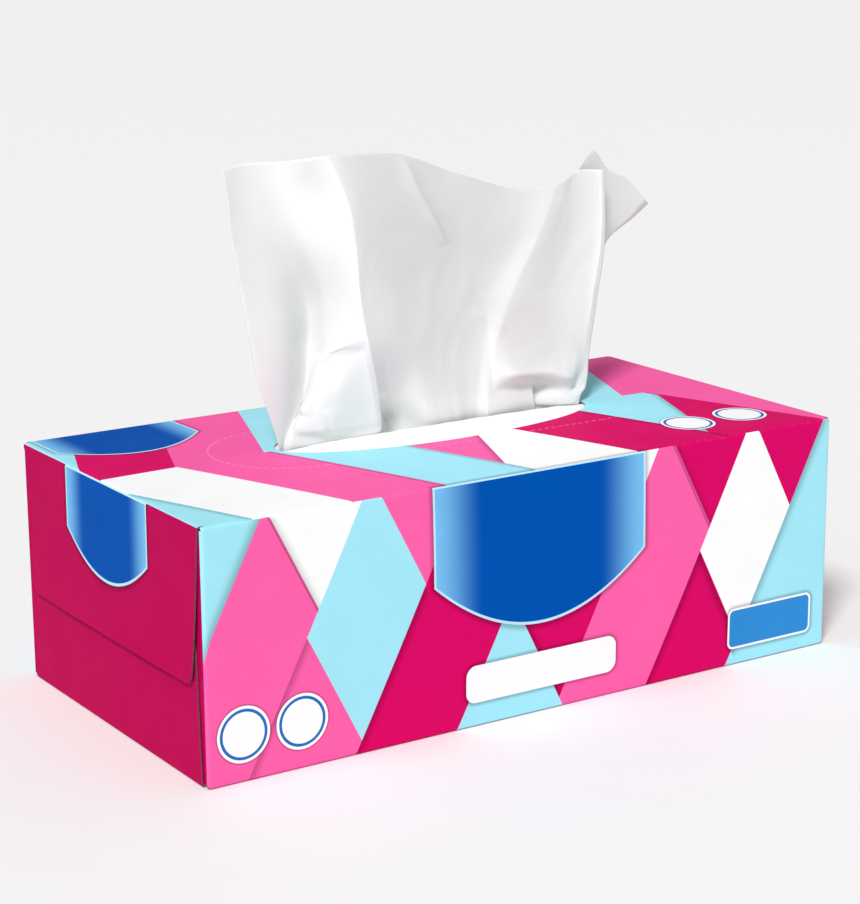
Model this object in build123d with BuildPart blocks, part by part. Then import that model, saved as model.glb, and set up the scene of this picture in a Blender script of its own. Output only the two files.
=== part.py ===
"""Flat pop-up tissue box: a folded paperboard carton with an oval opening, the slit film
under that opening, the stack of interleaved tissues inside, and the tissue that stands up
ready to be pulled.

Frame: origin at the centre of the underside, +X along the box, +Y to the back, +Z up.
Lengths are in millimetres.
"""

import math
import os

from build123d import *

# Carton, outside sizes
box_length = 225.0
box_width = 116.0
box_height = 75.0
board = 0.5  # paperboard thickness
layer_gap = 0.1  # glue line between two layers of board
fold_radius = 0.75  # at the middle of the board

# Flaps of the carton
glue_flap_height = 16.0  # inside the back panel, up from the bottom fold
seam_clearance = 0.3  # from the free edge of the back panel to the table
top_flap_drop = 46.0  # outermost flap of each end
bottom_flap_rise = 45.0
dust_flap_depth = 34.0
flap_inset = 1.2  # at each side of a flap, where it leaves its fold
flap_taper = 3.0  # by which each side of a flap narrows towards its free edge
flap_corner = 6.0  # radius of the free corners

# Opening in the top panel, and the film under it
opening_length = 113.0
opening_width = 39.0
opening_right = 3.0  # of the middle of the top panel
opening_back = 3.5
film = 0.15
film_margin = 12.0  # glued border round the opening
slit_length = 114.0
slit_width = 10.0  # where the tissue spreads it

# Stack of interleaved tissues
stack_clearance = 3.0  # to the end and side walls
headspace = 3.0  # from the stack to the film
stack_edge = 4.0  # soft corners of the stack

# Tissue that stands up through the slit
tissue = 0.4  # two soft plies
popup_height = 88.0  # above the top panel
popup_half_width = 72.0  # left and right of the slit's middle, at its top edge
popup_depth = 12.0  # of a deep fold, from the middle of the slit
slit_end_clearance = 3.0
slit_fill = 0.8  # share of the open slit that the gathered tissue takes

# Places worked out from the sizes above
top_inside = box_height - board
film_underside = top_inside - film
stack_top = film_underside - headspace
layer = board + layer_gap
top_flap_plane = box_length / 2 - board / 2
bottom_flap_plane = top_flap_plane - layer
dust_flap_plane = bottom_flap_plane - layer
tube_end = dust_flap_plane - 2 * fold_radius
side_plane = box_width / 2 - board / 2
glue_flap_plane = side_plane - layer

# Folds of the standing tissue, from its left edge to its right edge and on to the corner
# that is folded back behind it. Each has its place in the slit, as shares of what the open
# slit holds along and across, then its places at three levels further up, as shares of the
# half width and the fold depth.
level_shares = (0.31, 0.70, 1.05)  # of the height, the last above the top edge
fold_shares = (
    ((-1.00, 0.00), (-0.89, -0.07), (-0.98, -0.12), (-1.04, -0.12)),
    ((-0.95, 0.65), (-0.58, 0.54), (-0.70, 0.18), (-0.92, -0.14)),
    ((-0.70, -0.90), (-0.47, -0.42), (-0.58, -0.50), (-0.69, -0.33)),
    ((-0.41, -1.00), (-0.40, -0.73), (-0.49, -0.92), (-0.55, -0.60)),
    ((-0.26, 0.28), (-0.31, -0.52), (-0.41, -0.75), (-0.45, -0.45)),
    ((-0.04, -0.27), (-0.06, -0.08), (-0.04, -0.04), (-0.19, -0.09)),
    ((0.13, -0.58), (0.12, 0.11), (0.22, 0.35), (0.19, 0.38)),
    ((0.27, -0.54), (0.28, 0.17), (0.52, 0.57), (0.60, 0.71)),
    ((0.34, -0.82), (0.35, 0.02), (0.62, 0.42), (0.76, 0.58)),
    ((0.66, -0.55), (0.65, 0.36), (0.82, 0.65), (0.88, 0.75)),
    ((1.00, -0.62), (0.90, 0.38), (0.98, 0.58), (0.99, 0.67)),
    ((0.94, 0.95), (0.84, 0.64), (0.94, 0.94), (0.94, 1.00)),
    ((0.97, 0.96), (0.90, 0.79), (1.12, 1.21), (1.12, 1.25)),
    ((0.99, 0.65), (0.94, 0.88), (1.32, 1.29), (1.40, 1.38)),
)

# Outline that the standing tissue is trimmed to, seen from the front, as shares of the half
# width and of the height: along the top edge, then down past the loose corner at the right.
outline_shares = (
    (-1.10, 0.00),
    (-1.10, 0.97),
    (-0.66, 1.00),
    (-0.17, 0.98),
    (0.20, 0.87),
    (0.54, 0.80),
    (0.70, 0.80),
    (0.84, 0.84),
    (0.94, 0.90),
    (1.12, 0.80),
    (1.32, 0.68),
    (1.08, 0.57),
    (0.96, 0.35),
    (0.96, 0.00),
)


def bent_sheet(plane, path, half_width):
    """Adds board that follows a path with rounded folds, as wide as asked on both sides of a plane."""
    with BuildSketch(plane) as section:
        with BuildLine():
            FilletPolyline(*path, radius=fold_radius)
        trace(line_width=board)
    extrude(section.sketch, amount=half_width, both=True)


def trim_flap(plane, fold_half_width, fold_level, free_level, reach):
    """Cuts the flap just bent to a tapered outline with rounded free corners."""
    free_half_width = fold_half_width - flap_taper
    with BuildSketch(plane) as outline:
        with BuildLine():
            Polyline(
                (-fold_half_width, fold_level),
                (fold_half_width, fold_level),
                (free_half_width, free_level),
                (-free_half_width, free_level),
                close=True,
            )
        make_face()
        towards_free_edge = Axis.Y if free_level > fold_level else Axis.Y.reverse()
        fillet(outline.vertices().group_by(towards_free_edge)[-1], flap_corner)
    extrude(outline.sketch, amount=reach, both=True, mode=Mode.INTERSECT)


# Carton sleeve: glue flap, bottom, front, top and back panels, folded from one blank
with BuildPart() as sleeve:
    bent_sheet(
        Plane.YZ,
        (
            (glue_flap_plane, glue_flap_height),
            (glue_flap_plane, board / 2),
            (-side_plane, board / 2),
            (-side_plane, box_height - board / 2),
            (side_plane, box_height - board / 2),
            (side_plane, seam_clearance),
        ),
        tube_end,
    )

# Outermost flap of an end, folded down from the top panel
with BuildPart() as top_flap:
    bent_sheet(
        Plane.XZ,
        (
            (tube_end, box_height - board / 2),
            (top_flap_plane, box_height - board / 2),
            (top_flap_plane, box_height - top_flap_drop),
        ),
        box_width / 2,
    )
    trim_flap(
        Plane.YZ,
        box_width / 2 - fold_radius - flap_inset,
        box_height,
        box_height - top_flap_drop,
        box_length,
    )

# Flap folded up from the bottom panel, behind the top flap
with BuildPart() as bottom_flap:
    bent_sheet(
        Plane.XZ,
        (
            (tube_end, board / 2),
            (bottom_flap_plane, board / 2),
            (bottom_flap_plane, bottom_flap_rise),
        ),
        box_width / 2,
    )
    trim_flap(
        Plane.YZ,
        glue_flap_plane - fold_radius - flap_inset,
        0,
        bottom_flap_rise,
        box_length,
    )

# Innermost flap, folded in from the front panel. The back panel has its mirror image
with BuildPart() as dust_flap:
    bent_sheet(
        Plane.XY.offset(box_height / 2),
        (
            (tube_end, -side_plane),
            (dust_flap_plane, -side_plane),
            (dust_flap_plane, -box_width / 2 + dust_flap_depth),
        ),
        box_height / 2,
    )
    trim_flap(
        Plane((0, 0, box_height / 2), x_dir=(0, 0, 1), z_dir=(-1, 0, 0)),
        box_height / 2 - 2 * fold_radius - flap_inset,
        -box_width / 2,
        -box_width / 2 + dust_flap_depth,
        box_length,
    )

# The whole carton: the sleeve closed by the same flaps at both ends, and the opening cut out
with BuildPart() as carton:
    add(sleeve.part)
    for end_flap in (top_flap, bottom_flap, dust_flap):
        add(end_flap.part)
        mirror(end_flap.part, about=Plane.YZ)
    back_dust_flap = mirror(dust_flap.part, about=Plane.XZ)
    mirror(back_dust_flap, about=Plane.YZ)
    with BuildSketch(Plane.XY.offset(box_height)):
        with Locations((opening_right, opening_back)):
            Ellipse(opening_length / 2, opening_width / 2)
    extrude(amount=-2 * board, mode=Mode.SUBTRACT)

# Film glued under the opening, with the slit that the tissue spreads
with BuildPart() as film_window:
    with BuildSketch(Plane.XY.offset(film_underside)):
        with Locations((opening_right, opening_back)):
            Rectangle(opening_length + 2 * film_margin, opening_width + 2 * film_margin)
            Ellipse(slit_length / 2, slit_width / 2, mode=Mode.SUBTRACT)
    extrude(amount=film)

# Stack of folded tissues
with BuildPart() as tissue_stack:
    with BuildSketch(Plane.XY.offset(board)):
        RectangleRounded(
            2 * (dust_flap_plane - stack_clearance),
            2 * (glue_flap_plane - stack_clearance),
            stack_edge,
        )
    extrude(amount=stack_top - board)

# Standing tissue: ruled from fold to fold between four levels, trimmed to its outline
slit_half = slit_length / 2 - slit_end_clearance
slit_line = []
for (along, across), *_ in fold_shares:
    open_share = math.sqrt(1 - (along * slit_half / (slit_length / 2)) ** 2)
    gathered = slit_fill * open_share * slit_width / 2
    slit_line.append((opening_right + along * slit_half, opening_back + across * gathered))

with BuildPart() as top_tissue:
    with BuildSketch(Plane.XY.offset(box_height + board)) as slit_section:
        with BuildLine():
            Polyline(*slit_line)
        trace(line_width=tissue)
    for level, fold_line in zip(level_shares, zip(*[upper for _, *upper in fold_shares])):
        with BuildSketch(Plane.XY.offset(box_height + level * popup_height)):
            with BuildLine():
                Polyline(
                    *[
                        (opening_right + x * popup_half_width, opening_back + y * popup_depth)
                        for x, y in fold_line
                    ]
                )
            trace(line_width=tissue)
    loft(ruled=True)
    with BuildSketch(Plane.XZ):
        with BuildLine():
            Polyline(
                *[
                    (opening_right + x * popup_half_width, box_height + z * popup_height)
                    for x, z in outline_shares
                ],
                close=True,
            )
        make_face()
    extrude(amount=box_width / 2, both=True, mode=Mode.INTERSECT)
    extrude(slit_section.sketch, amount=-(box_height + board - stack_top))

carton.part.label = "carton"
film_window.part.label = "film_window"
tissue_stack.part.label = "tissue_stack"
top_tissue.part.label = "top_tissue"

os.makedirs("parts", exist_ok=True)
export_step(carton.part, "parts/carton.step")
export_step(film_window.part, "parts/film_window.step")
export_step(tissue_stack.part, "parts/tissue_stack.step")
export_step(top_tissue.part, "parts/top_tissue.step")
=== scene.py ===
"""Dressed model of the flat pop-up tissue box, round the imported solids."""

import math

import bpy
import numpy as np
from mathutils import Matrix, Vector, noise


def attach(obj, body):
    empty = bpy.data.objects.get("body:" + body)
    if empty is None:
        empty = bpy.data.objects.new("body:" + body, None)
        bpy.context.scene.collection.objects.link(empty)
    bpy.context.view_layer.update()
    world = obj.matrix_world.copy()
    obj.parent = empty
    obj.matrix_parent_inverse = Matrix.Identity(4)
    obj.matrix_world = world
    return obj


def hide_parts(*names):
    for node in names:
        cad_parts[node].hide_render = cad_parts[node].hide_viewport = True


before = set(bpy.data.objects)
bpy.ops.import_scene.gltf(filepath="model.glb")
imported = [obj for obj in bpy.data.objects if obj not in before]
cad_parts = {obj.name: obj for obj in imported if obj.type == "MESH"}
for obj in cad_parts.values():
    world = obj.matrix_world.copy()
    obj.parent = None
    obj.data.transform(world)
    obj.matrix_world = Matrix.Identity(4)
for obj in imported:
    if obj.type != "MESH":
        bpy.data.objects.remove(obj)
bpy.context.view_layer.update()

MM = 0.001

# Sizes of the solids, in millimetres
LENGTH, WIDTH, HEIGHT = 225.0, 116.0, 75.0
END_X, SIDE_Y = LENGTH / 2, WIDTH / 2
BOARD = 0.5
LAYER = 0.6  # board with the glue line beside it
FOLD = 1.0  # outer radius of a fold
TOP_FLAP_DROP, BOTTOM_FLAP_RISE, DUST_FLAP_DEPTH = 46.0, 45.0, 34.0
GLUE_FLAP = 16.0
SEAM = 0.3  # from the free edge of the back panel to the table
FLAP_TAPER, FLAP_CORNER = (3.0, 3.0), 6.0  # of the inner flaps, the taper on both sides
OPENING_AT = (3.0, 3.5)  # middle of the opening and of the slit, along X and Y
OPENING_HALF = (56.5, 19.5)
SLIT_HALF = (57.0, 5.0)
FILM_HALF = (68.5, 31.5)
FILM = 0.15

# Sizes of the carton that only this model has, in millimetres
PANEL_END = 110.3  # along X, where the flaps leave the panels
TOP_FLAP_INSET = 0.5  # at each side of the flap, where it leaves its fold
BOTTOM_FLAP_INSET = (2.0, 1.4)  # at the front and the back
DUST_FLAP_INSET = 2.7  # from the bottom and the top
TOP_FLAP_TAPER, TOP_FLAP_CORNER = (4.4, 1.4), 3.0  # the taper at the front and the back
TOP_FLAP_NOTCH, NOTCH_RUN = 2.6, 4.0  # by which its back edge steps in below the fold, and how soon
BOTTOM_FLAP_IN, DUST_FLAP_IN = 0.1, 0.55  # of the end, where these flaps leave their folds
DUST_FLAP_RUN = 5.0  # within which a dust flap sinks to its place behind the others
FLAP_LIFT, FLAP_WAVE = 0.85, 0.2  # of the top flap's free edge, and its unevenness
FLAP_WAVE_SEED, FLAP_WAVE_SIZE = 5.5, 22
FLAP_BOW = 0.25  # of the top flap, at its middle
CORNER_TABS = (0.0, 0.35, 0.6, 0.75)  # by which the long folds run on round the corners
PRINT_WRAP = 0.9  # by which the print of the front and back runs on round the upright folds

# How far the filled panels stand out: the height, its unevenness, and that one's seed and size
TOP_CROWN = (0.7, 0.25, 3.1, 45)
FRONT_CROWN = (0.75, 0.3, 7.7, 60)
BACK_CROWN = (0.6, 0.3, 9.2, 60)

# Mesh of the carton
PITCH_ALONG, PITCH_ACROSS, GLUE_FLAP_PITCH = 4.4, 4.0, 5.0
FOLD_STEPS = 6
OPENING_RINGS = (0, 0.006, 0.03, 0.07, 0.13, 0.2, 0.3, 0.4, 0.5, 0.6, 0.7, 0.8, 0.9, 1.0)
FREE_CORNER = (0.0, 0.03, 0.12, 0.27, 0.48, 0.72, 1.0)  # shares of a free corner's radius
SHARP_ANGLE = math.radians(40)
INSIDE, EDGE = 1, 2  # material slots after the printed side's


def srgb(r, g, b):
    """An 8-bit colour as the linear colour that Blender's sockets take."""
    def channel(v):
        v /= 255
        return v / 12.92 if v <= 0.04045 else ((v + 0.055) / 1.055) ** 2.4
    return channel(r), channel(g), channel(b), 1.0


PINK = srgb(251, 99, 170)
MAGENTA = srgb(217, 10, 101)
# A darker copy of MAGENTA for the ends and the bottom: painted shade
PAINTED_SHADE_MAGENTA = srgb(188, 4, 84)
SKY = srgb(164, 231, 246)
WHITE = srgb(252, 252, 252)
BLUE = srgb(0, 82, 175)
PALE_BLUE = srgb(120, 192, 240)
APRON_BORDER = srgb(190, 232, 250)
LABEL_BLUE = srgb(52, 140, 212)
RING_BLUE = srgb(40, 110, 190)
BLACK = (0.0, 0.0, 0.0, 1.0)


# Meshes

def mesh_object(name, verts, faces, materials):
    mesh = bpy.data.meshes.new(name)
    mesh.from_pydata([tuple(v) for v in verts], [], faces)
    for material in materials:
        mesh.materials.append(material)
    obj = bpy.data.objects.new(name, mesh)
    bpy.context.scene.collection.objects.link(obj)
    return obj


def apply_modifiers(obj):
    """Keeps what the modifiers make as the object's own mesh."""
    graph = bpy.context.evaluated_depsgraph_get()
    made = bpy.data.meshes.new_from_object(obj.evaluated_get(graph))
    obj.modifiers.clear()
    old = obj.data
    obj.data = made
    bpy.data.meshes.remove(old)


def thicken(obj, thickness, offset, **settings):
    """Gives a sheet its thickness in millimetres, and smooth shading."""
    solid = obj.modifiers.new("thickness", "SOLIDIFY")
    solid.thickness = thickness * MM
    solid.offset = offset
    for key, value in settings.items():
        setattr(solid, key, value)
    apply_modifiers(obj)
    obj.data.polygons.foreach_set("use_smooth", [True] * len(obj.data.polygons))


def set_uv(obj, name, places):
    """Makes a UV map, in metres, from each vertex's place on the flat sheet in millimetres."""
    layer = obj.data.uv_layers.new(name=name)
    corners = np.empty(len(obj.data.loops), np.int32)
    obj.data.loops.foreach_get("vertex_index", corners)
    layer.data.foreach_set("uv", (places[corners] * MM).astype(np.float32).ravel())


def steps(low, high, pitch):
    return list(np.linspace(low, high, max(1, round(abs(high - low) / pitch)) + 1))


class Sheet:
    """A sheet of board in quads. Each point has its place in space and its place on the flat blank,
    and points with the same place on the blank are one."""

    def __init__(self):
        self.verts, self.blank, self.faces, self.index = [], [], [], {}

    def point(self, place, blank):
        key = (round(blank[0], 3), round(blank[1], 3))
        if key not in self.index:
            self.index[key] = len(self.verts)
            self.verts.append(place)
            self.blank.append(blank)
        return self.index[key]

    def face(self, corners):
        """A quad whose front is the printed side of the blank."""
        flat = [self.blank[i] for i in corners]
        turn = sum(a[0] * b[1] - b[0] * a[1] for a, b in zip(flat, flat[1:] + flat[:1]))
        self.faces.append(corners if turn < 0 else corners[::-1])

    def grid(self, rows):
        """Rows of (place, blank) pairs, all of one length."""
        ids = [[self.point(*p) for p in row] for row in rows]
        for a, b in zip(ids, ids[1:]):
            for i in range(len(a) - 1):
                self.face([a[i], a[i + 1], b[i + 1], b[i]])


def hump(a, low, high):
    """1 in the middle of a range and 0 at its ends."""
    t = (a - low) / (high - low)
    return max(0.0, 4 * t * (1 - t))


def ease(t):
    """Rises smoothly from 0 to 1 as t does."""
    t = min(1.0, max(0.0, t))
    return t * t * (3 - 2 * t)


def ramp(a, start, end):
    """0 before a start and 1 past an end, for arrays."""
    return np.clip((a - start) / (end - start), 0, 1)


def ripple(a, b, seed, size):
    return noise.noise(Vector((a / size, b / size, seed)))


def swell(x, across, low, high, crown):
    """How far a filled panel stands out, by place along X and across the panel."""
    height, uneven, seed, size = crown
    share = hump(x, -PANEL_END, PANEL_END) * hump(across, low, high)
    return share * (height + uneven * ripple(x, across, seed, size))


def top_rise(x, y):
    return swell(x, y, -SIDE_Y + FOLD, SIDE_Y - FOLD, TOP_CROWN)


def front_bulge(x, z):
    return swell(x, z, FOLD, HEIGHT - FOLD, FRONT_CROWN)


def back_bulge(x, z):
    return swell(x, z, 0, HEIGHT - FOLD, BACK_CROWN)


def arc():
    return [i / FOLD_STEPS for i in range(FOLD_STEPS + 1)]


# Places on the flat blank, measured down from the top front edge

def blank_top(y):
    return -(y + SIDE_Y)


def blank_front(z):
    return HEIGHT - z


def blank_bottom(y):
    return HEIGHT + y + SIDE_Y


def blank_back(z):
    return -WIDTH - (HEIGHT - z)


def free_edge_steps(length, corner):
    """Distances from the fold along a flap, closer together at its rounded free corners."""
    near = [corner * share for share in FREE_CORNER]
    far = steps(corner, length, PITCH_ACROSS)[1:]
    return [length - d for d in (near + far)][::-1]


def narrowed(places, run, length, taper, corner, notch):
    """Places along the fold, drawn in to the width that the flap has further on."""
    rounding = 0.0
    to_edge = length - run
    if to_edge < corner:
        rounding = corner - math.sqrt(corner ** 2 - (corner - to_edge) ** 2)
    low, high = min(places), max(places)
    new_low = low + taper[0] * run / length + rounding
    new_high = high - taper[1] * run / length - notch * ease(run / NOTCH_RUN) - rounding
    return [new_low + (v - low) * (new_high - new_low) / (high - low) for v in places]


def add_flap(sheet, end, fold_x, places, length, place, blank, out, taper=FLAP_TAPER,
             corner=FLAP_CORNER, notch=0.0):
    """A flap of one end, bent round its fold and tapered to a free edge with rounded corners.

    place gives a point from X, its place along the fold and its depth from the panel's face, blank
    the place along the fold on the blank, and out how far along X the flap lies past the fold."""
    rows = [[(place(end * PANEL_END, v, 0.0), (end * PANEL_END, blank(v))) for v in places]]
    for t in arc():
        angle = math.radians(90 * t)
        x = end * (fold_x - FOLD + FOLD * math.sin(angle))
        depth = FOLD * (1 - math.cos(angle))
        along = end * (END_X - FOLD + 2 * FOLD * t)
        rows.append([(place(x, v, depth), (along, blank(v))) for v in places])
    for run in free_edge_steps(length, corner)[1:]:
        along = end * (END_X + FOLD + run)
        rows.append([
            (place(end * out(v, run), v, FOLD + run), (along, blank(v)))
            for v in narrowed(places, run, length, taper, corner, notch)
        ])
    sheet.grid(rows)


def add_end_flaps(sheet, end, top_ys, bottom_ys, side_zs):
    """The four flaps of one end: the top flap outermost, the bottom flap, and the dust flaps inside."""
    top_length = TOP_FLAP_DROP - FOLD
    bottom_length = BOTTOM_FLAP_RISE - FOLD
    bottom_x, dust_x = END_X - BOTTOM_FLAP_IN, END_X - DUST_FLAP_IN

    def top_out(y, run):
        uneven = FLAP_WAVE * ripple(y, run, FLAP_WAVE_SEED + end, FLAP_WAVE_SIZE)
        lift = (run / top_length) ** 3 * (FLAP_LIFT + uneven)
        return END_X + lift + FLAP_BOW * hump(y, -SIDE_Y, SIDE_Y) * hump(run, 0, 2 * top_length)

    def bottom_out(y, run):
        return bottom_x - (LAYER - BOTTOM_FLAP_IN) * ease(run / bottom_length)

    def dust_out(z, run):
        return dust_x - (2 * LAYER - DUST_FLAP_IN) * ease(run / DUST_FLAP_RUN)

    add_flap(
        sheet, end, END_X, top_ys, top_length, lambda x, y, depth: (x, y, HEIGHT - depth), blank_top,
        top_out, TOP_FLAP_TAPER, TOP_FLAP_CORNER, TOP_FLAP_NOTCH,
    )
    add_flap(
        sheet, end, bottom_x, bottom_ys, bottom_length, lambda x, y, depth: (x, y, depth), blank_bottom,
        bottom_out,
    )
    for face, blank in ((-1, blank_front), (1, blank_back)):
        add_flap(
            sheet, end, dust_x, side_zs, DUST_FLAP_DEPTH - FOLD,
            lambda x, z, depth: (x, face * (SIDE_Y - depth), z), blank, dust_out,
        )


def carton_sheet():
    sheet = Sheet()
    side = SIDE_Y - FOLD
    glue_y = SIDE_Y - LAYER
    bottom_back = glue_y - FOLD
    xs = steps(-PANEL_END, PANEL_END, PITCH_ALONG)
    top_flap_ys = steps(-side + TOP_FLAP_INSET, side - TOP_FLAP_INSET, PITCH_ACROSS)
    top_ys = [-side] + top_flap_ys + [side]
    bottom_flap_ys = steps(
        -side + BOTTOM_FLAP_INSET[0], bottom_back - BOTTOM_FLAP_INSET[1], PITCH_ACROSS,
    )
    bottom_ys = [-side] + bottom_flap_ys + [bottom_back]
    side_zs = [FOLD] + steps(DUST_FLAP_INSET, HEIGHT - DUST_FLAP_INSET, PITCH_ACROSS) + [HEIGHT - FOLD]

    # Bottom, front and back panels
    sheet.grid([[((x, y, 0.0), (x, blank_bottom(y))) for x in xs] for y in bottom_ys])
    sheet.grid([
        [((x, -SIDE_Y - front_bulge(x, z), z), (x, blank_front(z))) for x in xs] for z in side_zs
    ])
    sheet.grid([
        [((x, SIDE_Y + back_bulge(x, z), z), (x, blank_back(z))) for x in xs] for z in [SEAM] + side_zs
    ])

    # Long folds: front to top, top to back, front to bottom, bottom to glue flap. They run on past the
    # panels and close in at the corners
    corner_x = END_X - DUST_FLAP_IN - FOLD
    tabs = [(corner_x + d, math.sqrt(FOLD ** 2 - d ** 2)) for d in CORNER_TABS]
    fold_line = [(-x, r) for x, r in tabs[::-1]] + [(x, FOLD) for x in xs] + tabs

    def add_fold(axis_y, axis_z, start, way, line):
        """A fold from a start angle in degrees, the way that it turns, and its line on the blank."""
        rows = []
        for t in arc():
            angle = math.radians(start + way * 90 * t)
            ca, sa = math.cos(angle), math.sin(angle)
            s = line + way * FOLD * (2 * t - 1)
            rows.append([((x, axis_y + r * ca, axis_z + r * sa), (x, s)) for x, r in fold_line])
        sheet.grid(rows)

    bottom_end = blank_bottom(glue_y)
    add_fold(-side, HEIGHT - FOLD, 90, 1, 0)
    add_fold(side, HEIGHT - FOLD, 90, -1, -WIDTH)
    add_fold(-side, FOLD, 180, 1, HEIGHT)
    add_fold(bottom_back, FOLD, 270, 1, bottom_end)
    glue_zs = steps(FOLD, GLUE_FLAP, GLUE_FLAP_PITCH)
    sheet.grid([[((x, glue_y, z), (x, bottom_end + z)) for x in xs] for z in glue_zs])

    # Top panel: rings from the oval opening out to the panel's edges
    rim = [(x, -side) for x in xs] + [(PANEL_END, y) for y in top_ys[1:]]
    rim += [(x, side) for x in xs[-2::-1]] + [(-PANEL_END, y) for y in top_ys[-2:0:-1]]
    ring_rows = []
    for t in OPENING_RINGS:
        row = []
        for x, y in rim:
            a = math.atan2((y - OPENING_AT[1]) / side, (x - OPENING_AT[0]) / PANEL_END)
            ox = OPENING_AT[0] + OPENING_HALF[0] * math.cos(a)
            oy = OPENING_AT[1] + OPENING_HALF[1] * math.sin(a)
            px, py = ox + (x - ox) * t, oy + (y - oy) * t
            row.append(((px, py, HEIGHT + top_rise(px, py)), (px, blank_top(py))))
        ring_rows.append(row + row[:1])
    sheet.grid(ring_rows)

    for end in (-1, 1):
        add_end_flaps(sheet, end, top_flap_ys, bottom_flap_ys, side_zs)
    return sheet


# Layout for the export's pictures, as shares of their side
BLANK_SIDE = 0.4  # in metres, of the square that the flat blank is laid out on
BLANK_MARGIN = 0.002
INSIDE_SCALE, INSIDE_AT = 0.23, (0.806, 0.003)  # of the unprinted side
EDGE_CELL, EDGE_COLUMNS, EDGES_AT = 0.0062, 30, (0.806, 0.25)
EDGE_FILL = 0.7  # of a cell


def lay_out_bake(mesh):
    """A layout for the export's pictures: the printed side as the flat blank, the unprinted side small
    beside it, and each cut edge in a cell of its own."""
    flat = np.empty(2 * len(mesh.loops), np.float32)
    mesh.uv_layers["print"].data.foreach_get("uv", flat)
    flat = flat.reshape(-1, 2)
    sides = np.empty(len(mesh.polygons), np.int32)
    mesh.polygons.foreach_get("material_index", sides)
    sides = np.repeat(sides, 4)
    spots = (flat - flat.min(axis=0)) / BLANK_SIDE + BLANK_MARGIN
    spots[sides == INSIDE] = spots[sides == INSIDE] * INSIDE_SCALE + INSIDE_AT
    edges = np.count_nonzero(sides == EDGE) // 4
    cells = np.stack([np.arange(edges) % EDGE_COLUMNS, np.arange(edges) // EDGE_COLUMNS], axis=1)
    square = np.array([(0, 0), (1, 0), (1, 1), (0, 1)]) * EDGE_FILL
    spots[sides == EDGE] = ((cells[:, None] + square) * EDGE_CELL + EDGES_AT).reshape(-1, 2)
    layer = mesh.uv_layers.new(name="OFBake", do_init=False)
    layer.data.foreach_set("uv", spots.astype(np.float32).ravel())


def make_carton(materials):
    sheet = carton_sheet()
    obj = mesh_object("carton_printed", [Vector(v) * MM for v in sheet.verts], sheet.faces, materials)
    set_uv(obj, "print", np.array(sheet.blank))
    thicken(obj, BOARD, -1, use_even_offset=True, material_offset=INSIDE, material_offset_rim=EDGE)
    obj.data.set_sharp_from_angle(angle=SHARP_ANGLE)
    lay_out_bake(obj.data)
    return obj


# Materials

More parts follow.
